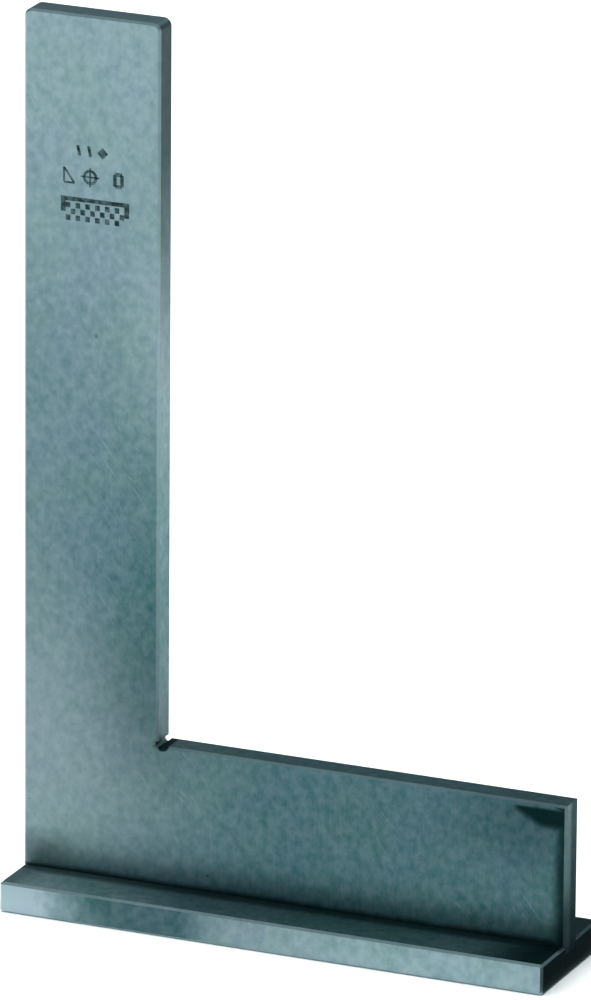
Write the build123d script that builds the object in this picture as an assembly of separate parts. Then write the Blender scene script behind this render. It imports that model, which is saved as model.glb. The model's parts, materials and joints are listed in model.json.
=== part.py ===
from build123d import *

import math
import os

# A workshop square with a wide base, nominal size 150 x 100.
#
# A hardened and ground L-shaped blade stands on edge in a groove along a flat base bar, so that the
# two make an upside-down T in end view. Four countersunk screws, driven from below, pull the
# blade's foot down into the groove, and two dowel pins hold it square. Nothing on the tool moves.
#
# Frame: millimetres. The origin is the centre of the base's underside, the face that the tool
# stands on. +X runs along the base from the heel to the toe, +Z runs up the blade, and the blade's
# marked face looks towards -Y.

# ---- Driving dimensions ----------------------------------------------------------------------
BASE_LENGTH = 100.0  # along X; the blade's foot is as long as the base
BASE_WIDTH = 25.0  # along Y
BASE_THICKNESS = 5.5
BLADE_THICKNESS = 5.0  # along Y
UPRIGHT_WIDTH = 25.0  # the tall leg, along X
UPRIGHT_RISE = 152.0  # the tall leg's top above the base's top
FOOT_RISE = 25.0  # the short leg's top above the base's top

GROOVE_DEPTH = 1.5  # how far the blade is let into the base
GROOVE_CLEARANCE = 0.02  # on each side of the blade
GROOVE_MOUTH_BREAK = 0.25  # chamfer along the groove's two upper edges
BLADE_EDGE_BREAK = 0.4  # chamfer round both faces of the blade
BASE_EDGE_BREAK = 0.4
TOP_CORNER_RADIUS = 1.4  # the tall leg's two upper corners
CORNER_RELIEF_RADIUS = 0.6  # round relief at the inner corner, for the edge of a workpiece

# ---- M3 x 10 countersunk screws with a 2 mm hexagon socket -----------------------------------
SCREW_COUNT = 4
SCREW_END_DISTANCE = 8.0  # from each end of the base to the nearest screw
SCREW_RADIUS = 1.5
SCREW_LENGTH = 10.0
SCREW_HEAD_RADIUS = 3.0
SCREW_HEAD_LAND = 0.2  # straight rim of the head, before its cone
SCREW_SOCKET_ACROSS_FLATS = 2.0
SCREW_SOCKET_DEPTH = 1.1
SCREW_TIP_BREAK = 0.4
SCREW_RECESS = 0.4  # how far the head lies inside the underside
THREAD_CLEARANCE = 0.02  # round the plain cylinder that stands for the thread
CLEARANCE_HOLE_RADIUS = 1.7
COUNTERSINK_CLEARANCE = 0.02
TAPPED_DEPTH = 8.0
DRILL_POINT_ANGLE = 118.0  # degrees

# ---- 3 x 10 dowel pins -----------------------------------------------------------------------
PIN_COUNT = 2
PIN_PITCH = 56.0
PIN_RADIUS = 1.5
PIN_LENGTH = 10.0
PIN_END_BREAK = 0.3
PIN_RECESS = 0.2  # how far the pin's end lies inside the underside
PIN_HOLE_DEPTH = 7.0  # in the blade's foot

# ---- Places worked out from the driving dimensions -------------------------------------------
HEEL_X = -BASE_LENGTH / 2
TOE_X = BASE_LENGTH / 2
INNER_X = HEEL_X + UPRIGHT_WIDTH
SEAT_Z = BASE_THICKNESS - GROOVE_DEPTH
FOOT_TOP_Z = BASE_THICKNESS + FOOT_RISE
TOP_Z = BASE_THICKNESS + UPRIGHT_RISE

SCREW_PITCH = (BASE_LENGTH - 2 * SCREW_END_DISTANCE) / (SCREW_COUNT - 1)
SCREW_XS = [HEEL_X + SCREW_END_DISTANCE + n * SCREW_PITCH for n in range(SCREW_COUNT)]
PIN_XS = [(n - (PIN_COUNT - 1) / 2) * PIN_PITCH for n in range(PIN_COUNT)]

STANDING = (Align.CENTER, Align.CENTER, Align.MIN)  # a solid that stands on its lower end


def drilled_hole(x, floor_z, radius, depth):
    """A blind hole going up from floor_z, ending in the cone that a drill leaves."""
    point_height = radius / math.tan(math.radians(DRILL_POINT_ANGLE / 2))
    bore = Pos(x, 0, floor_z) * Cylinder(radius, depth, align=STANDING)
    point = Pos(x, 0, floor_z + depth) * Cone(radius, 0, point_height, align=STANDING)
    return bore + point


def blade_outline():
    """The L as it is seen from -Y, with rounded top corners and its inner corner relieved."""
    corners = [
        (HEEL_X, SEAT_Z),
        (TOE_X, SEAT_Z),
        (TOE_X, FOOT_TOP_Z),
        (INNER_X, FOOT_TOP_Z),
        (INNER_X, TOP_Z),
        (HEEL_X, TOP_Z),
    ]
    outline = make_face(Polyline(*corners, close=True))
    top_corners = outline.vertices().group_by(Axis.Y)[-1]
    outline = fillet(top_corners, TOP_CORNER_RADIUS)
    return outline - Pos(INNER_X, FOOT_TOP_Z) * Circle(CORNER_RELIEF_RADIUS)


def make_blade():
    """The L-shaped plate, its edges broken, tapped and reamed from below."""
    plate = extrude(Plane.XZ * blade_outline(), BLADE_THICKNESS / 2, both=True)
    front = plate.faces().sort_by(Axis.Y)[0]
    back = plate.faces().sort_by(Axis.Y)[-1]
    plate = chamfer(front.edges() + back.edges(), BLADE_EDGE_BREAK)
    for x in SCREW_XS:
        plate -= drilled_hole(x, SEAT_Z, SCREW_RADIUS + THREAD_CLEARANCE, TAPPED_DEPTH)
    for x in PIN_XS:
        plate -= drilled_hole(x, SEAT_Z, PIN_RADIUS, PIN_HOLE_DEPTH)
    return plate


def countersunk_hole(x):
    """A clearance hole through the base, with a 90 degree countersink in the underside."""
    mouth_radius = SCREW_HEAD_RADIUS + COUNTERSINK_CLEARANCE
    mouth_depth = SCREW_RECESS + SCREW_HEAD_LAND
    cone_height = mouth_radius - CLEARANCE_HOLE_RADIUS
    through = Pos(x, 0, 0) * Cylinder(CLEARANCE_HOLE_RADIUS, BASE_THICKNESS, align=STANDING)
    mouth = Pos(x, 0, 0) * Cylinder(mouth_radius, mouth_depth, align=STANDING)
    cone = Cone(mouth_radius, CLEARANCE_HOLE_RADIUS, cone_height, align=STANDING)
    return through + mouth + Pos(x, 0, mouth_depth) * cone


def groove():
    """The groove along the base's top that the blade's foot sits in, with its mouth broken."""
    half_width = BLADE_THICKNESS / 2 + GROOVE_CLEARANCE
    half_mouth = half_width + GROOVE_MOUTH_BREAK
    section = Polyline(
        (-half_width, SEAT_Z),
        (half_width, SEAT_Z),
        (half_width, BASE_THICKNESS - GROOVE_MOUTH_BREAK),
        (half_mouth, BASE_THICKNESS),
        (-half_mouth, BASE_THICKNESS),
        (-half_width, BASE_THICKNESS - GROOVE_MOUTH_BREAK),
        close=True,
    )
    return extrude(Plane.YZ * make_face(section), BASE_LENGTH, both=True)


def make_base():
    """The base bar, grooved along its top and drilled along its centre line."""
    bar = Box(BASE_LENGTH, BASE_WIDTH, BASE_THICKNESS, align=STANDING)
    bar = chamfer(bar.edges(), BASE_EDGE_BREAK)
    bar -= groove()
    for x in SCREW_XS:
        bar -= countersunk_hole(x)
    for x in PIN_XS:
        bar -= Pos(x, 0, 0) * Cylinder(PIN_RADIUS, BASE_THICKNESS, align=STANDING)
    return bar


def make_screw():
    """One countersunk screw, standing on its head with its tip upwards."""
    shank = Cylinder(SCREW_RADIUS, SCREW_LENGTH, align=STANDING)
    shank = chamfer(shank.edges().sort_by(Axis.Z)[-1], SCREW_TIP_BREAK)
    land = Cylinder(SCREW_HEAD_RADIUS, SCREW_HEAD_LAND, align=STANDING)
    cone_height = SCREW_HEAD_RADIUS - SCREW_RADIUS
    cone = Cone(SCREW_HEAD_RADIUS, SCREW_RADIUS, cone_height, align=STANDING)
    screw = shank + land + Pos(0, 0, SCREW_HEAD_LAND) * cone
    hexagon = RegularPolygon(SCREW_SOCKET_ACROSS_FLATS / 2, 6, major_radius=False)
    return screw - extrude(hexagon, SCREW_SOCKET_DEPTH)


def make_pin():
    """One dowel pin, standing on its end."""
    pin = Cylinder(PIN_RADIUS, PIN_LENGTH, align=STANDING)
    return chamfer(pin.edges().filter_by(GeomType.CIRCLE), PIN_END_BREAK)


def make_parts():
    """Every separate piece, in its place, under its own name."""
    parts = {"blade": make_blade(), "base": make_base()}
    for number, x in enumerate(SCREW_XS, start=1):
        parts[f"base_screw_{number}"] = Pos(x, 0, SCREW_RECESS) * make_screw()
    for number, x in enumerate(PIN_XS, start=1):
        parts[f"dowel_pin_{number}"] = Pos(x, 0, PIN_RECESS) * make_pin()
    return parts


os.makedirs("parts", exist_ok=True)
for name, shape in make_parts().items():
    export_step(shape, f"parts/{name}.step")
    print(name, "volume", round(shape.volume, 2), "mm3")
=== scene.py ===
# %% [markdown]
# # A workshop square with a wide base
#
# The square is two pieces of steel and what joins them: an L-shaped blade, 5 mm thick, and a flat
# bar under it that lets it stand up by itself. The sizes and shapes come from the CAD frame, which
# isn't touched here. What this lesson adds is the finish: how a surface grinder, handling, oil and
# years in a tool chest change the look of plain steel.
#
# The frame comes first, because every later step takes its places from it.

# %% Load the frame
import json
import math

import bmesh
import bpy
from mathutils import Matrix, Vector


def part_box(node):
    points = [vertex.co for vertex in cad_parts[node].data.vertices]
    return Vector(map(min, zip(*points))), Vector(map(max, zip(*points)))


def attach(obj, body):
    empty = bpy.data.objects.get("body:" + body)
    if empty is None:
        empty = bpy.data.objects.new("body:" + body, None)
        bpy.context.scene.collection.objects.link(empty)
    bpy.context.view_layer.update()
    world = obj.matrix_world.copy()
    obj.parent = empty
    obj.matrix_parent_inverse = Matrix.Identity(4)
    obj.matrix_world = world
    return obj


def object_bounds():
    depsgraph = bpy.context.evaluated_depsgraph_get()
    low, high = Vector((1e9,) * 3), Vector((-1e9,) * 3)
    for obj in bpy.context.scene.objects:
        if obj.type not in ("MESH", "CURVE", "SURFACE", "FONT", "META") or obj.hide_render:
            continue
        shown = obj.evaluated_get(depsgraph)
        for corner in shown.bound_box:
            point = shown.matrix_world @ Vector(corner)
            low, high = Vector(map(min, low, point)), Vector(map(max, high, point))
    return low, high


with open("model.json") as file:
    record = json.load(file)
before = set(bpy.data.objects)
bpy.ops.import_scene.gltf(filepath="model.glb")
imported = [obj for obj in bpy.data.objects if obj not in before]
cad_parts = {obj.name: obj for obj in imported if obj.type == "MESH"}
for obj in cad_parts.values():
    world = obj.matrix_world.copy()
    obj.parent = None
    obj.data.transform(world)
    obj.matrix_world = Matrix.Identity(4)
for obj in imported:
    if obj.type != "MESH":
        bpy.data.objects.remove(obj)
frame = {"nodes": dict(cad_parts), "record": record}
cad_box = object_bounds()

MM = 0.001
ALONG_X, ALONG_Y, ALONG_Z = 0, 1, 2
nodes = frame["nodes"]
print("pieces in the frame:", ", ".join(sorted(nodes)))

# %% [markdown]
# ## Places, in millimetres
#
# A finish has to know where it is on the tool: how high above the base, how near the toe. The boxes
# of the two pieces give their outer faces, and the record's mounts give the two faces of the inner
# corner, which no box shows.

# %% The places that the later cells use
blade_low, blade_high = [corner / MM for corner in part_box("blade")]
mount_places = {mount["name"]: Vector(mount["pos_m"]) / MM for mount in frame["record"]["mounts"]}

heel_x = blade_low.x
toe_x = blade_high.x
inner_x = mount_places["blade_inner_edge"].x
foot_top = mount_places["foot_top_edge"].z
base_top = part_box("base")[1].z / MM
blade_top = blade_high.z
print("heel and toe at x", round(heel_x, 2), round(toe_x, 2))
print("inner corner at x", round(inner_x, 2), "and z", round(foot_top, 2))
print("base top at z", round(base_top, 2), "and blade top at z", round(blade_top, 2))

# %% [markdown]
# ## Writing a finish as sums
#
# A finish is a small calculation: so much grinding pattern, plus so much stain, times so much wear.
# Blender does that with nodes, and a hundred nodes laid out by hand are hard to read. Here one
# class wraps a node's socket, so that `0.4 + 0.1 * clouds` adds the Math nodes by itself. Numbers go
# through Math nodes. Colours go through Mix nodes, because a Math node would turn them grey.

# %% A socket that can be added and multiplied
class Wire:
    """One socket of a node tree, or the bare tree when it has no socket yet."""

    def __init__(self, tree, socket=None):
        self.tree = tree
        self.socket = socket

    def node(self, kind, settings=None, sockets=None, output=0):
        """Adds any node: its settings first, then the values or wires of its sockets."""
        made = self.tree.nodes.new(kind)
        for name, value in (settings or {}).items():
            setattr(made, name, value)
        for name, value in (sockets or {}).items():
            if isinstance(value, Wire):
                self.tree.links.new(value.socket, made.inputs[name])
            else:
                made.inputs[name].default_value = value
        return Wire(self.tree, made.outputs[output]) if len(made.outputs) else None

    def maths(self, operation, *values):
        return self.node("ShaderNodeMath", {"operation": operation}, dict(enumerate(values)))

    def __add__(self, other):
        return self.maths("ADD", self, other)

    def __radd__(self, other):
        return self.maths("ADD", other, self)

    def __sub__(self, other):
        return self.maths("SUBTRACT", self, other)

    def __rsub__(self, other):
        return self.maths("SUBTRACT", other, self)

    def __mul__(self, other):
        return self.maths("MULTIPLY", self, other)

    def __rmul__(self, other):
        return self.maths("MULTIPLY", other, self)

    def __abs__(self):
        return self.maths("ABSOLUTE", self)

    def at_least(self, other):
        return self.maths("MAXIMUM", self, other)

    def rise(self, low, high):
        """0 below low, 1 above high, and a smooth step between."""
        return self.node(
            "ShaderNodeMapRange",
            {"interpolation_type": "SMOOTHSTEP"},
            {"Value": self, "From Min": low, "From Max": high},
        )

    def fall(self, low, high):
        """1 below low, 0 above high, and a smooth step between."""
        return 1 - self.rise(low, high)

    def tint(self, colour, other):
        """colour where this is 0, and other where it is 1."""
        return self.node(
            "ShaderNodeMix",
            {"data_type": "RGBA"},
            {0: self, 6: as_colour(colour), 7: as_colour(other)},
            output=2,
        )


def as_colour(value):
    """A colour socket wants four numbers; a wire goes in as it is."""
    return value if isinstance(value, Wire) else (*value, 1.0)


def vector_maths(start, operation, first, second):
    return start.node("ShaderNodeVectorMath", {"operation": operation}, {0: first, 1: second})


def split(start, vector):
    return [start.node("ShaderNodeSeparateXYZ", {}, {0: vector}, output=axis) for axis in "XYZ"]


# %% Starting and closing a finish
def start_finish(name):
    material = bpy.data.materials.new(name)
    material.use_nodes = True
    material.node_tree.nodes.clear()
    return material, Wire(material.node_tree)


def close_finish(start, sockets):
    """Adds the shader with these values and wires, and the material's output."""
    shader = start.node("ShaderNodeBsdfPrincipled", {}, sockets)
    start.node("ShaderNodeOutputMaterial", {}, {"Surface": shader})


def wear_finish(node_name, material):
    """Gives a CAD piece its finish, in whatever slots it came with."""
    for slot in nodes[node_name].material_slots:
        slot.material = material
    print(node_name, "wears", material.name)


# %% [markdown]
# ## What ground steel is made of
#
# A surface grinder leaves fine straight lines in the direction that its table runs. They are a few
# hundredths of a millimetre wide and make the reflection streaky rather than dull. Over them lies a
# soft mottle, where oil and fingers have toned the steel bluish here and greenish there, and a few
# pits and hairline scratches.
#
# Each of these is a number worked out from where a point is on the piece, in millimetres, so the
# pattern keeps its real scale. All of it is noise: stretched a lot for the lines, a little for the
# blotches. An image of real steel would show its repeats on a face this long.

# %% Where a point is, and which way it faces
def place_on(start):
    coordinates = start.node("ShaderNodeTexCoord", output="Object")
    return vector_maths(start, "MULTIPLY", coordinates, (1 / MM, 1 / MM, 1 / MM))


def facing(start):
    """How far the surface faces along X, Y and Z, each from -1 to 1."""
    return split(start, start.node("ShaderNodeTexCoord", output="Normal"))


def front_faces(start):
    """1 on the flat faces that look towards -Y, and 0 on the broken edges round them."""
    return facing(start)[ALONG_Y].fall(-0.95, -0.9)


def top_faces(start):
    """1 on the flat faces that look straight up."""
    return facing(start)[ALONG_Z].rise(0.9, 0.95)


def spot(start, place, centre, reach):
    """1 at the centre, fading to 0 at its reach along each axis."""
    away = vector_maths(start, "SUBTRACT", place, centre)
    away = vector_maths(start, "DIVIDE", away, reach)
    length = start.node("ShaderNodeVectorMath", {"operation": "LENGTH"}, {0: away}, output="Value")
    return length.fall(0.0, 1.0)


# %% Noise, the raw material of every pattern
def noise(start, place, per_mm, detail=2.0, roughness=0.5):
    """Noise with that many waves per millimetre along each axis."""
    stretched = vector_maths(start, "MULTIPLY", place, per_mm)
    return start.node(
        "ShaderNodeTexNoise",
        {"noise_dimensions": "3D"},
        {"Vector": stretched, "Scale": 1.0, "Detail": detail, "Roughness": roughness},
    )


def grinding_lines(start, place, along):
    """Fine lines along one axis: 0.12 mm apart across it and some 15 mm long."""
    per_mm = [8.0, 8.0, 8.0]
    per_mm[along] = 0.07
    return noise(start, place, per_mm, detail=3.0, roughness=0.6)


def clouds_on(start, place):
    """Soft clouds about 8 mm across, with finer ones inside them."""
    return noise(start, place, (0.12, 0.12, 0.09), detail=4.0, roughness=0.6)


def blotches_on(start, place):
    """Blotches about 1.5 mm across, such as oil and fingers leave."""
    return noise(start, place, (0.70, 0.70, 0.58), detail=3.0, roughness=0.6)


def hues_on(start, place):
    """Where the steel is toned greenish rather than bluish, in patches 15 mm across."""
    return noise(start, place, (0.065, 0.065, 0.05), detail=4.0, roughness=0.7).rise(0.38, 0.66)


# %% Edges, pits and scratches
def broken_edges(start):
    """1 on the small slopes round every edge, where the surface faces between two axes."""
    x, y, z = [abs(part) for part in facing(start)]
    return x.at_least(y).at_least(z).fall(0.80, 0.95)


def pits_on(start, place):
    """Scattered dark specks: the cores of cells 7 mm apart, and only some of them."""
    cells = {"voronoi_dimensions": "3D", "feature": "F1"}
    sockets = {"Vector": place, "Scale": 0.15}
    distance = start.node("ShaderNodeTexVoronoi", cells, sockets)
    draw = start.node("ShaderNodeTexVoronoi", cells, sockets, output="Color")
    return distance.fall(0.02, 0.045) * split(start, draw)[0].rise(0.55, 0.60)


def scratches_on(start, place):
    """Hairlines across the grinding, where two slanted waves of noise cross their middle value."""
    slanted = start.node(
        "ShaderNodeMapping", {}, {"Vector": place, "Rotation": (0.0, math.radians(37), 0.0)}
    )
    wave = noise(start, slanted, (0.9, 0.9, 0.035), detail=1.0)
    gaps = noise(start, place, (0.05, 0.05, 0.05), detail=1.0)
    return abs(wave - 0.5).fall(0.0, 0.012) * gaps.rise(0.52, 0.62)


# %% [markdown]
# ## The steel's colour
#
# Both pieces are the same steel, so they share one recipe. The first mask says how far the steel has
# gone from clean to dull, the second where oil and dirt sit, and the third where an edge was rubbed
# clean again; the first two also carry painted shade, and the first and third painted highlights.
# The order matters: wear and highlight come last, because they take off what the others put on.
# `dusty` is where a dry film covers the metal, so that it mirrors less and shows more of its own
# colour.

# %% The tones, as a painter would mix them
CLEAN_BLUISH = (0.380, 0.485, 0.540)
CLEAN_GREENISH = (0.372, 0.500, 0.515)
DULL_BLUISH = (0.026, 0.136, 0.163)
DULL_GREENISH = (0.025, 0.145, 0.148)
# The darkest tone, for oil and dirt and also for painted shade.
OIL_AND_SHADE_STEEL = (0.0025, 0.024, 0.026)
EDGE_STEEL = (0.42, 0.55, 0.58)
PIT_TONE = (0.02, 0.04, 0.045)
print("clean steel is", round(CLEAN_BLUISH[1] / DULL_BLUISH[1], 1), "times as light as dull steel")


# %% The shared recipe
def close_steel(start, place, along, tone_with_light_and_shade, dark, wear_and_highlight, dusty=0.0):
    """Steel ground along one axis, from masks of tone, dark, wear and dust that also carry painted
    light and shade.
    """
    lines = grinding_lines(start, place, along)
    blotches = blotches_on(start, place)
    hues = hues_on(start, place)

    # The toning also carries painted highlights and painted shade from the masks.
    tone_with_light_and_shade = tone_with_light_and_shade + 0.6 * (blotches - 0.5)
    bluish = tone_with_light_and_shade.tint(CLEAN_BLUISH, DULL_BLUISH)
    greenish = tone_with_light_and_shade.tint(CLEAN_GREENISH, DULL_GREENISH)
    colour = hues.tint(bluish, greenish)
    colour = (0.16 * lines.rise(0.5, 0.75)).tint(colour, EDGE_STEEL)
    colour = (0.25 * scratches_on(start, place)).tint(colour, EDGE_STEEL)
    # Oil, dirt and painted shade all pull towards the darkest steel.
    colour = dark.tint(colour, OIL_AND_SHADE_STEEL)
    colour = (0.8 * pits_on(start, place)).tint(colour, PIT_TONE)
    # Rubbed edges and painted highlights pull towards the bright edge steel.
    colour = wear_and_highlight.tint(colour, EDGE_STEEL)

    height = 0.7 * lines + 0.3 * blotches
    bump = start.node("ShaderNodeBump", {}, {"Strength": 0.12, "Distance": 0.02 * MM, "Height": height})
    close_finish(start, {
        "Base Color": colour,
        "Metallic": 1 - 0.34 * dusty,
        "Roughness": 0.34 + 0.12 * lines + 0.10 * blotches + 0.12 * dark,
        "Normal": bump,
    })


# %% [markdown]
# ## The blade's finish
#
# The blade is hardened, then ground all over along its tall leg. It is lightest at the free end and
# darker towards the foot, partly toned steel and partly painted shade, and a painted highlight lightens
# the heel. Painted shade darkens the corner between blade and base, the relief of the inner corner,
# the toe's edge and end, the top faces and the upper part of the inner edge.
#
# The masks are sums of soft spots. A spot has a centre on the tool and a reach along each axis; a
# reach of ANY_DEPTH along Y makes it count on both faces of the blade.

# %% Blade: how dull each part has gone, and painted light and shade
ANY_DEPTH = 90.0  # millimetres, far more than the blade is thick


def blade_tone_with_light_and_shade(start, place, height, uneven):
    """0 is clean and 1 is dull. Cleanest at the free end, duller to the foot with painted shade, a
    painted highlight at the heel.
    """
    # Darker towards the foot: partly toned steel, partly painted shade.
    lower_part = (height + 15 * uneven).fall(20, 155)
    inner_streak = spot(start, place, (inner_x - 1, 0, foot_top + 20), (14, ANY_DEPTH, 50))
    dull = 0.31 + 0.46 * lower_part + 0.11 * inner_streak

    # Painted highlights at the heel and along its edge; the upper inner edge is lighter.
    heel_highlight = spot(start, place, (heel_x, 0, foot_top - 6), (50, ANY_DEPTH, 42))
    heel_edge = spot(start, place, (heel_x, 0, foot_top + 26), (20, ANY_DEPTH, 46))
    upper_edge = spot(start, place, (inner_x, 0, base_top + 97), (11, ANY_DEPTH, 28))
    return dull - 0.58 * heel_highlight - 0.17 * heel_edge - 0.17 * upper_edge


# %% Blade: painted shade beside the base
def joint_shade_beside_base(start, place, height, uneven):
    """A dark joint along the base deepened by painted shade, and painted shade above it at the heel."""
    seam = (height + 1.2 * uneven).fall(0.1, 1.3) * height.rise(-0.2, 0.1)
    heel_joint_shade = spot(start, place, (heel_x + 2, 0, base_top + 2.5), (10, ANY_DEPTH, 6))
    return [
        (0.82, seam),
        (0.42, heel_joint_shade * (1 + 3 * uneven)),
    ]


# %% Blade: a dull patch and painted shade at the inner corner
def patch_and_shade_at_inner_corner(start, place, right):
    """A dull patch on the face, painted shade that makes the relief nearly black, and painted shade on
    the edge above it.
    """
    patch = spot(start, place, (inner_x - 2, 0, foot_top + 8), (16, ANY_DEPTH, 26))
    relief = spot(start, place, (inner_x + 0.8, 0, foot_top - 0.1), (1.9, ANY_DEPTH, 1.4))
    edge = right * spot(start, place, (inner_x, 0, foot_top), (4, ANY_DEPTH, 20))
    return [
        (0.24, patch),
        (0.97, relief.rise(0.1, 0.5)),
        (0.50, edge),
    ]


# %% Blade: painted shade at the toe
def toe_shade_wedge(x, below, uneven):
    """A soft wedge of painted shade under the foot's top edge, thin at first and thicker at the toe."""
    thickness = 1.9 + 2.6 * x.rise(toe_x - 10, toe_x - 4)
    wedge = (thickness - below + 1.6 * uneven).rise(-1.5, 1.0)
    return wedge * below.rise(0.4, 1.3) * x.rise(toe_x - 11, toe_x - 8.5)


def shade_on_toe_face(start, place, uneven):
    """Painted shade on the face, a painted dark line along its edge and the wedge of painted shade."""
    x, _, z = split(start, place)
    front = front_faces(start)
    shade = spot(start, place, (toe_x - 7, 0, foot_top - 4), (22, ANY_DEPTH, 13))
    line = front * (x + 1.5 * uneven).rise(toe_x - 3.2, toe_x - 0.7)
    shade_wedge = front * toe_shade_wedge(x, foot_top - z, uneven)
    return [
        (0.34, shade),
        (0.86, line),
        (0.97, shade_wedge),
    ]


def toe_end(start, place):
    """1 on the blade's flat end at the toe, which no other face shares."""
    x = split(start, place)[ALONG_X]
    return facing(start)[ALONG_X].rise(0.9, 0.95) * x.rise(toe_x - 0.3, toe_x - 0.1)


def shade_on_toe_end(start, place, height, right):
    """Painted shade: dark near the base, nearly black inside the groove, and dull on the end's back
    half.
    """
    y = split(start, place)[ALONG_Y]
    return [
        (0.70, right * height.fall(4, 14)),
        (0.85, right * height.fall(-0.4, 0.6)),
        (0.50, toe_end(start, place) * y.rise(-0.8, 0.2)),
    ]


# %% Blade: all of its dirt and painted shade
def darkest_of(stains):
    """Stains and painted shade don't add up: each point shows only the darkest of them."""
    dark = 0.0
    for strength, stain in stains:
        dark = (strength * stain).at_least(dark)
    return dark


def blade_dirt_and_shade(start, place, height, uneven):
    """A nick in the face, painted shade on the upper inner edge and on the top faces, and all the rest.
    """
    face_x = facing(start)[ALONG_X]
    right = face_x.rise(0.5, 0.65)  # the right-hand faces and their broken edges
    nick = spot(start, place, (heel_x + 13.4, blade_low.y, foot_top + 71.2), (0.6, 0.6, 0.7))
    # Painted shade on the upper part of the inner edge.
    upper_leg_edge_shade = face_x.rise(0.45, 0.95) * (height + 10 * uneven).rise(76, 138)
    return darkest_of([
        (0.50, nick),
        (0.84, upper_leg_edge_shade),
        # Painted shade on the faces that look up.
        (0.15, top_faces(start)),
        *joint_shade_beside_base(start, place, height, uneven),
        *patch_and_shade_at_inner_corner(start, place, right),
        *shade_on_toe_face(start, place, uneven),
        *shade_on_toe_end(start, place, height, right),
    ])


# %% Blade: where it is rubbed bright, and its painted highlights
def blade_wear_and_highlight(start, place):
    """Every broken edge, rubbed and given a painted highlight, and a painted highlight on the front
    half of the toe's end.
    """
    y = split(start, place)[ALONG_Y]
    highlit_toe_front = toe_end(start, place) * y.fall(-1.4, 0.2)
    return (0.45 * broken_edges(start)).at_least(0.6 * highlit_toe_front)


# %% Blade: the whole finish
def make_blade_finish():
    material, start = start_finish("blade_steel")
    place = place_on(start)
    uneven = clouds_on(start, place) - 0.5
    height = split(start, place)[ALONG_Z] - base_top
    tone_with_light_and_shade = blade_tone_with_light_and_shade(start, place, height, uneven)
    dark = blade_dirt_and_shade(start, place, height, uneven)
    wear_and_highlight = blade_wear_and_highlight(start, place) * (1 - dark)
    close_steel(start, place, ALONG_Z, tone_with_light_and_shade, dark, wear_and_highlight)
    return material


wear_finish("blade", make_blade_finish())

# %% [markdown]
# ## The base's finish
#
# The bar is ground along its length. Its front is the brightest face of the tool, lighter still at
# the heel from a painted highlight, apart from one dark patch near the heel. Its top is darkened by
# painted shade, most along the blade; it is dusty and lighter near the heel and darker towards the toe.
# Its toe end is painted nearly black with shade.

# %% Base: how dull each part has gone, and painted light and shade
def base_tone_with_light_and_shade(x, along, top, patch, uneven):
    """0 is clean and 1 is dull. A painted highlight lightens the sides at the heel; painted shade dulls
    the top.
    """
    # Painted highlight on the sides at the heel.
    lit_heel_sides = (1 - top) * x.fall(heel_x, heel_x + 16)
    lighter_top_at_heel = top * along.fall(heel_x + 8, heel_x + 34)
    dull = 0.32 + 0.6 * uneven + 0.45 * patch
    # The top is duller from painted shade, and lighter near the heel.
    return dull - 0.5 * lit_heel_sides + 0.42 * top - 0.22 * lighter_top_at_heel


# %% Base: where it is darker, with painted shade
def base_dirt_and_shade(start, place, along, top, patch, darker_top_at_toe, uneven):
    """Painted shade beside the blade and on the toe end, a darker top at the heel end and towards the
    toe, and the patch.
    """
    x, y, z = split(start, place)
    face_x = facing(start)[ALONG_X]
    patch_tail = along.rise(heel_x + 20, heel_x + 30) * along.fall(heel_x + 38, heel_x + 70)
    off_blade = abs(y) - blade_high.y + 1.2 * uneven
    upper = z.rise(base_top - 0.5, base_top - 0.2)
    toe_edge_behind = face_x.rise(0.5, 0.7) * y.rise(1, 4)
    return darkest_of([
        # Painted shade on the top beside the blade.
        (0.84, upper * off_blade.fall(1.4, 4.2)),
        (0.18, upper * off_blade.fall(1, 9)),
        (0.62, top * x.fall(heel_x + 1, heel_x + 8)),
        (0.44, patch),
        (0.20, front_faces(start) * patch_tail),
        (0.90, darker_top_at_toe),
        # Painted shade on the toe end and on its edge behind the blade.
        (0.97, face_x.rise(0.6, 0.9)),
        (0.70, toe_edge_behind),
    ])


# %% Base: the whole finish
def make_base_finish():
    material, start = start_finish("base_steel")
    place = place_on(start)
    x = split(start, place)[ALONG_X]
    top = top_faces(start)
    uneven = clouds_on(start, place) - 0.5
    along = x + 10 * uneven
    dark_patch_band = along.rise(heel_x + 6, heel_x + 23) * along.fall(heel_x + 32, heel_x + 42)
    patch = front_faces(start) * dark_patch_band
    darker_top_at_toe = top * (x + 5 * uneven).rise(toe_x - 15, toe_x - 3)

    tone_with_light_and_shade = base_tone_with_light_and_shade(x, along, top, patch, uneven)
    dark = base_dirt_and_shade(start, place, along, top, patch, darker_top_at_toe, uneven)
    # Broken edges rubbed bright, partly a painted highlight.
    wear_and_highlight = 0.4 * broken_edges(start) * (1 - dark) * (1 - patch)
    dusty = top * (0.3 + 0.7 * along.fall(heel_x + 2, heel_x + 38)) * (1 - darker_top_at_toe)
    close_steel(start, place, ALONG_X, tone_with_light_and_shade, dark, wear_and_highlight, dusty)
    return material


wear_finish("base", make_base_finish())

# %% [markdown]
# ## Screws and pins
#
# The screws are black from their heat treatment, with the rims rubbed bright by the key and the
# grinder. The dowel pins are bright ground rod.

# %% Fasteners
SCREW_BLACK = (0.02, 0.022, 0.025)
SCREW_GREY = (0.07, 0.075, 0.08)
RUBBED_RIM = (0.3, 0.31, 0.32)
PIN_GREY = (0.38, 0.42, 0.44)
PIN_BRIGHT = (0.60, 0.63, 0.65)


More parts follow.
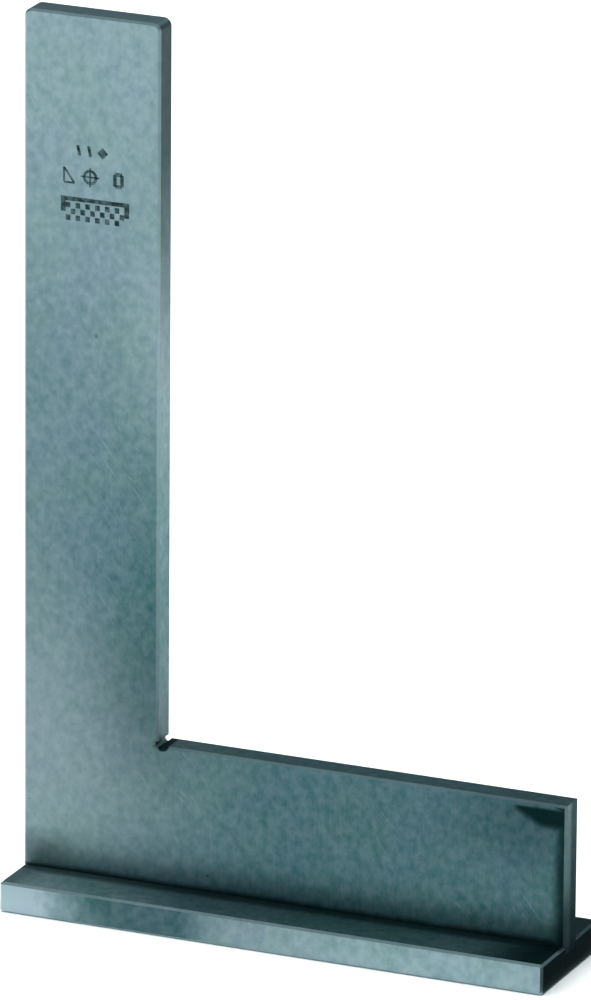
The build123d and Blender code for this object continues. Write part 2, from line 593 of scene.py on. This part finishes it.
def make_screw_finish():
    material, start = start_finish("screw_steel")
    place = place_on(start)
    grain = noise(start, place, (2.5, 2.5, 2.5), detail=3.0)
    tone = (0.5 * grain).tint(SCREW_BLACK, SCREW_GREY)
    close_finish(start, {
        "Base Color": (0.5 * broken_edges(start)).tint(tone, RUBBED_RIM),
        "Metallic": 0.9,
        "Roughness": 0.35 + 0.2 * grain,
    })
    return material


def make_pin_finish():
    material, start = start_finish("pin_steel")
    place = place_on(start)
    lines = noise(start, place, (9.0, 9.0, 0.6), detail=3.0)
    close_finish(start, {
        "Base Color": lines.tint(PIN_GREY, PIN_BRIGHT),
        "Metallic": 1.0,
        "Roughness": 0.25 + 0.2 * lines,
    })
    return material


fastener_finishes = {"base_screw": make_screw_finish(), "dowel_pin": make_pin_finish()}
for name in sorted(nodes):
    for kind, finish in fastener_finishes.items():
        if name.startswith(kind):
            wear_finish(name, finish)

# %% [markdown]
# ## Marks etched on the blade
#
# A square carries small marks near its free end. They are etched: a current eats the steel through
# a stencil and leaves a dark, slightly uneven film. These are plain signs that say nothing but what
# they show: two ticks and a diamond from inspection, a set square, a round bar with its centre lines
# and a flat bar, and a chequered scale bar.
#
# They could be painted by a mask in the blade's finish, but strokes that fine need a pattern far
# sharper than noise gives. Here each stroke is a flat bar of mesh a hundredth of a millimetre proud
# of the face, which stays sharp at any distance. The film's own noise then eats into them.

# %% A flat mark from outlines
MARK_DEPTH = 0.012  # how far a mark stands out of the face, and how far it goes in


def flat_mark(name, outlines):
    """One thin piece from outlines in (x, z), standing just proud of the blade's front face."""
    mesh = bmesh.new()
    for outline in outlines:
        corners = [mesh.verts.new((x, blade_low.y + MARK_DEPTH, z)) for x, z in outline]
        face = mesh.faces.new(corners)
        raised = bmesh.ops.extrude_face_region(mesh, geom=[face])
        moved = [item for item in raised["geom"] if isinstance(item, bmesh.types.BMVert)]
        bmesh.ops.translate(mesh, verts=moved, vec=(0.0, -2 * MARK_DEPTH, 0.0))
    bmesh.ops.recalc_face_normals(mesh, faces=mesh.faces)
    bmesh.ops.scale(mesh, vec=(MM, MM, MM), verts=mesh.verts)
    data = bpy.data.meshes.new(name)
    mesh.to_mesh(data)
    mesh.free()
    piece = bpy.data.objects.new(name, data)
    bpy.context.scene.collection.objects.link(piece)
    return piece


def stroke(x0, z0, x1, z1, width):
    """The outline of a straight stroke between two points."""
    start = Vector((x0, z0))
    end = Vector((x1, z1))
    along = (end - start).normalized() * width / 2
    side = Vector((-along.y, along.x))
    return [start - side, end - side, end + side, start + side]


def block(x, z, width, height):
    """The outline of a filled block, from the middle of its lower side."""
    return stroke(x, z, x, z + height, width)


def closed_line(corners, width):
    """The strokes that join the corners and come back to the first one."""
    return [stroke(*a, *b, width) for a, b in zip(corners, corners[1:] + corners[:1])]


def ring(x, z, radius, width, steps=24):
    turns = [2 * math.pi * n / steps for n in range(steps)]
    return closed_line([(x + radius * math.cos(t), z + radius * math.sin(t)) for t in turns], width)


def rectangle(x, z, width, height):
    """Four corners round a middle."""
    across, up = width / 2, height / 2
    return [(x - across, z - up), (x + across, z - up), (x + across, z + up), (x - across, z + up)]


# %% Three rows of marks
mark_x = heel_x + 13.1
mark_z = blade_top - 23.7
print("the marks' first row is at x", round(mark_x, 2), "and z", round(mark_z, 2))


def make_check_mark():
    """Two slanted ticks and a diamond."""
    strokes = []
    for tick_x in (mark_x - 2.8, mark_x - 0.8):
        strokes.append(stroke(tick_x, mark_z - 0.8, tick_x - 0.4, mark_z + 1.0, 0.55))
    middle = mark_x + 1.4
    diamond = [(middle - 1, mark_z), (middle, mark_z - 1), (middle + 1, mark_z), (middle, mark_z + 1)]
    return flat_mark("etched_check_mark", strokes + [diamond])


def make_stock_marks():
    """A set square, a round bar with its centre lines and a flat bar, in a row."""
    z = mark_z - 4.4
    line = 0.5
    set_square = [(mark_x - 5.7, z - 1.3), (mark_x - 3.8, z - 1.3), (mark_x - 5.7, z + 1.3)]
    strokes = closed_line(set_square, 0.35)
    bar_x = mark_x - 0.9
    strokes += ring(bar_x, z, 1.1, line)
    strokes.append(stroke(bar_x - 1.7, z, bar_x + 1.7, z, 0.3))
    strokes.append(stroke(bar_x, z - 1.7, bar_x, z + 1.7, 0.3))
    strokes += closed_line(rectangle(mark_x + 4.3, z, 1.3, 2.1), 0.65)
    return flat_mark("etched_stock_marks", strokes)


def make_scale_bar():
    """A heavy rule with a block at each end, and three chequered rows under it."""
    z = mark_z - 8.9
    blocks_across = 14
    pitch = 0.9
    width = blocks_across * pitch
    left = mark_x - width / 2
    strokes = [block(mark_x, z, width, 0.75)]
    strokes += [block(x, z - 1.9, pitch, 1.9) for x in (left + pitch / 2, left + width - pitch / 2)]
    for row in range(3):
        for n in range(1 + row % 2, blocks_across - 1, 2):
            strokes.append(block(left + (n + 0.5) * pitch, z - 1.2 - row * 1.1, 0.85, 0.95))
    return flat_mark("etched_scale_bar", strokes)


# %% The etched film
STRONG_FILM = (0.004, 0.014, 0.016)
FADED_FILM = (0.02, 0.05, 0.055)
RUBBED_FILM = (0.08, 0.15, 0.16)


def make_etch_finish(name, film, thin):
    """A dark film with a patchy tone. thin is how much of it has worn off, from 0 to 1."""
    material, start = start_finish(name)
    place = place_on(start)
    patchy = noise(start, place, (0.8, 0.8, 0.8), detail=3.0)
    close_finish(start, {
        "Base Color": patchy.rise(0.35, 0.7).tint(film, RUBBED_FILM),
        "Metallic": 0.3,
        "Roughness": 0.6 + 0.2 * patchy,
        "Specular IOR Level": 0.2,
        "Alpha": 1 - thin * patchy.rise(0.42, 0.60),
    })
    return material


strong_film = make_etch_finish("etched_film_strong", STRONG_FILM, thin=0.25)
faded_film = make_etch_finish("etched_film_faded", FADED_FILM, thin=0.45)
marks = {make_check_mark(): strong_film, make_stock_marks(): faded_film, make_scale_bar(): strong_film}
for mark, film in marks.items():
    mark.data.materials.append(film)
    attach(mark, "root")
    print(mark.name, "has", len(mark.data.polygons), "faces")

# %% [markdown]
# ## Floor, light and camera
#
# A ground face is a blurred mirror, so its tone is the tone of what it faces. The front of the
# blade faces the pale floor before it, and comes out mid grey. The top edges face the far
# surroundings, which are dim, and come out dark. One broad soft sun lights the floor evenly and
# leaves hardly any shadow. It is kept out of reflections, where it would show as white lines along
# the broken edges; a soft glow overhead does that work more gently.

# %% Things that are only staging
def stage_sheet(name, low, high, z):
    """A flat sheet between two corners in (x, y), in metres."""
    mesh = bpy.data.meshes.new(name)
    corners = [(low[0], low[1], z), (high[0], low[1], z), (high[0], high[1], z), (low[0], high[1], z)]
    mesh.from_pydata(corners, [], [(0, 1, 2, 3)])
    sheet = bpy.data.objects.new(name, mesh)
    bpy.context.scene.collection.objects.link(sheet)
    print(name, "reaches", high[0] - low[0], "by", high[1] - low[1], "m")
    return sheet


FLOOR_GREY = (0.86, 0.87, 0.87)
FLOOR_PALE = (0.90, 0.90, 0.90)


def make_floor():
    """A floor so wide that its edge is never in view, with the faintest of clouds in it."""
    reach = 40.0
    floor = stage_sheet("floor", (-reach, -reach), (reach, reach), 0.0)
    material, start = start_finish("pale_floor")
    cloud = noise(start, place_on(start), (0.01, 0.01, 0.01))
    close_finish(start, {
        "Base Color": cloud.tint(FLOOR_GREY, FLOOR_PALE),
        "Roughness": 0.9,
        "Specular IOR Level": 0.0,
    })
    floor.data.materials.append(material)


make_floor()

# %% [markdown]
# In a studio, dark cards are laid round bright metal to put tone into it. These are seen only in
# reflections, and each fades out along one axis so that its edge doesn't show.

# %% Shade cards
CARD_BLACK = (0.01, 0.03, 0.035)
CARD_HEIGHT = 0.3 * MM  # just above the floor, so that the two don't flicker into each other


def make_card(name, low, high, axis, dark_at, clear_at, strength):
    """A card on the floor, darkest where the axis reads dark_at and gone where it reads clear_at."""
    card = stage_sheet(name, low, high, CARD_HEIGHT)
    material, start = start_finish(name)
    along = split(start, place_on(start))[axis]
    direction = 1 if clear_at > dark_at else -1
    shade = strength * (direction * along).fall(direction * dark_at / MM, direction * clear_at / MM)
    black = start.node("ShaderNodeEmission", {}, {"Color": as_colour(CARD_BLACK)})
    clear = start.node("ShaderNodeBsdfTransparent")
    mixed = start.node("ShaderNodeMixShader", {}, {0: shade, 1: clear, 2: black})
    start.node("ShaderNodeOutputMaterial", {}, {"Surface": mixed})
    card.data.materials.append(material)
    card.visible_camera = False
    card.visible_diffuse = False
    card.visible_shadow = False
    card.visible_transmission = False
    card.visible_volume_scatter = False


make_card("front_card", (-0.60, -0.62), (0.25, -0.028), ALONG_Y, -0.028, -0.52, strength=0.50)
make_card("back_card", (0.101, 0.0), (0.60, 0.60), ALONG_Y, 0.45, 0.20, strength=0.70)
make_card("toe_card", (0.0505, -0.06), (0.20, 0.10), ALONG_X, 0.055, 0.18, strength=0.95)

# %% Sun, overhead glow and a pale backdrop
DIM_ROOM = (0.17, 0.23, 0.24)
CEILING_GLOW = (0.46, 0.52, 0.54)


def make_sun():
    light = bpy.data.lights.new("soft_sun", "SUN")
    light.energy = 4.2
    light.angle = math.radians(100)
    sun = bpy.data.objects.new("soft_sun", light)
    sun.rotation_euler = (math.radians(12), math.radians(-14), 0)
    sun.visible_glossy = False
    bpy.context.scene.collection.objects.link(sun)
    print("the sun's strength is", light.energy)


def make_surroundings():
    """Dim near the horizon and brighter overhead, as in a room with a soft ceiling light."""
    world = bpy.data.worlds.new("surroundings")
    world.use_nodes = True
    world.node_tree.nodes.clear()
    start = Wire(world.node_tree)
    direction = start.node("ShaderNodeTexCoord", output="Generated")
    glow = split(start, direction)[2].rise(0.35, 0.95)
    colour = glow.tint(DIM_ROOM, CEILING_GLOW)
    light = start.node("ShaderNodeBackground", {}, {"Color": colour})
    start.node("ShaderNodeOutputWorld", {}, {"Surface": light})
    bpy.context.scene.world = world


def make_backdrop():
    """A pale dome that only the camera sees, so that low views don't look into the dim room."""
    reach = 5.0  # metres, which is farther out than any camera stands
    mesh = bmesh.new()
    bmesh.ops.create_uvsphere(mesh, u_segments=48, v_segments=24, radius=reach)
    data = bpy.data.meshes.new("backdrop")
    mesh.to_mesh(data)
    mesh.free()
    dome = bpy.data.objects.new("backdrop", data)
    bpy.context.scene.collection.objects.link(dome)
    material, start = start_finish("pale_backdrop")
    light = start.node("ShaderNodeEmission", {}, {"Color": (1.0, 1.0, 1.0, 1.0)})
    start.node("ShaderNodeOutputMaterial", {}, {"Surface": light})
    data.materials.append(material)
    dome.visible_diffuse = False
    dome.visible_glossy = False
    dome.visible_shadow = False
    dome.visible_transmission = False
    dome.visible_volume_scatter = False
    print("the dome's radius is", reach, "m")


make_sun()
make_surroundings()
make_backdrop()
bpy.context.scene.view_settings.view_transform = "Standard"

# %% [markdown]
# The camera is a long lens far away, a little above the tool and to its right, so that the sides of
# the blade stay nearly parallel. It is placed from the middle of the CAD box.

# %% Camera
VIEW_AZIMUTH = math.radians(23.28)
VIEW_ELEVATION = math.radians(17.98)
VIEW_ROLL = math.radians(0.43)
VIEW_DISTANCE = 2.014
VIEW_LENS = 431.7  # millimetres, on a sensor 36 mm high
VIEW_OFFSET = Vector((-0.97 * MM, 0.0, -1.92 * MM))  # from the middle of the tool


def camera_axes():
    """Which way the camera's right, up and back point."""
    flat = math.cos(VIEW_ELEVATION)
    back_x = math.sin(VIEW_AZIMUTH) * flat
    back_y = -math.cos(VIEW_AZIMUTH) * flat
    back = Vector((back_x, back_y, math.sin(VIEW_ELEVATION)))
    right = Vector((math.cos(VIEW_AZIMUTH), math.sin(VIEW_AZIMUTH), 0.0))
    up = back.cross(right)
    turned_right = right * math.cos(VIEW_ROLL) + up * math.sin(VIEW_ROLL)
    turned_up = up * math.cos(VIEW_ROLL) - right * math.sin(VIEW_ROLL)
    return turned_right, turned_up, back


def make_camera():
    lens = bpy.data.cameras.new("camera")
    lens.lens = VIEW_LENS
    lens.sensor_width = 36.0
    lens.clip_start = 0.05
    lens.clip_end = 100.0
    camera = bpy.data.objects.new("camera", lens)
    bpy.context.scene.collection.objects.link(camera)
    right, up, back = camera_axes()
    turn = Matrix((right, up, back)).transposed().to_4x4()
    middle = (cad_box[0] + cad_box[1]) / 2
    place = middle + VIEW_OFFSET + back * VIEW_DISTANCE
    camera.matrix_world = Matrix.Translation(place) @ turn
    bpy.context.scene.camera = camera
    print("camera stands at", [round(v, 3) for v in place])


make_camera()
